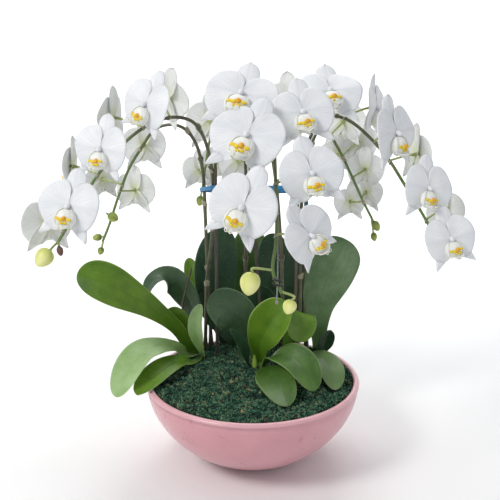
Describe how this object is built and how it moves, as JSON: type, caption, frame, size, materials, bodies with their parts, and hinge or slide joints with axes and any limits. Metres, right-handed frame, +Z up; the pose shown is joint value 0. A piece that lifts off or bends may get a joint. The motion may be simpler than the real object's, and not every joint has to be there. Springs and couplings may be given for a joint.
{
  "type": "potted orchid",
  "caption": "Moth orchids with white flowers on arching spikes above broad strap leaves, planted in moss in a shallow round glazed bowl.",
  "frame": {"origin": "middle of the flat under the bowl's foot", "axes": "+Z up out of the bowl, -Y towards the front, +X to the right as seen from the front"},
  "size_m": [0.6139, 0.4637, 0.5822],
  "materials": {
    "bowl": "smooth glossy pink glaze",
    "growing_medium": "loose dark bark",
    "moss": "fine dull dark green moss",
    "crown": "smooth pale green plant stem",
    "leaf": "waxy mid-green leaf with a soft gloss",
    "stem": "smooth olive-green flower stem",
    "flower": "soft white petals with a fine sheen, yellow in the throat",
    "stake": "dark brown split cane",
    "tie": "flat blue plastic tie"
  },
  "bodies": {
    "root": {"bowl": "bowl", "flower_back_1": "flower", "flower_centre_1": "flower", "flower_centre_2": "flower", "flower_centre_3": "flower", "flower_centre_4": "flower", "flower_centre_5": "flower", "flower_centre_6": "flower", "flower_centre_7": "flower", "flower_left_back_1": "flower", "flower_left_back_2": "flower", "flower_left_back_3": "flower", "flower_left_front_1": "flower", "flower_left_front_2": "flower", "flower_left_front_3": "flower", "flower_left_front_4": "flower", "flower_left_front_5": "flower", "flower_left_front_6": "flower", "flower_left_front_7": "flower", "flower_right_back_1": "flower", "flower_right_back_2": "flower", "flower_right_back_3": "flower", "flower_right_front_1": "flower", "flower_right_front_2": "flower", "flower_right_front_3": "flower", "flower_right_front_4": "flower", "flower_right_front_5": "flower", "flower_right_front_6": "flower", "flower_right_front_7": "flower", "front_crown": "crown", "growing_medium": "growing_medium", "leaf_back_left": "leaf", "leaf_back_middle": "leaf", "leaf_back_right": "leaf", "leaf_front_curled": "leaf", "leaf_front_low": "leaf", "leaf_front_narrow": "leaf", "leaf_front_right": "leaf", "leaf_front_upright": "leaf", "leaf_left_arched": "leaf", "leaf_left_broad": "leaf", "leaf_left_low": "leaf", "leaf_left_pale": "leaf", "leaf_left_short": "leaf", "leaf_left_small": "leaf", "leaf_middle_round": "leaf", "leaf_right_low": "leaf", "leaf_right_small": "leaf", "leaf_right_tall": "leaf", "moss": "moss", "spike_back": "stem", "spike_centre": "stem", "spike_left_back": "stem", "spike_left_front": "stem", "spike_right_back": "stem", "spike_right_front": "stem", "spike_tie": "tie", "stake_left": "stake", "stake_middle": "stake", "stake_right": "stake"}
  },
  "joints": []
}
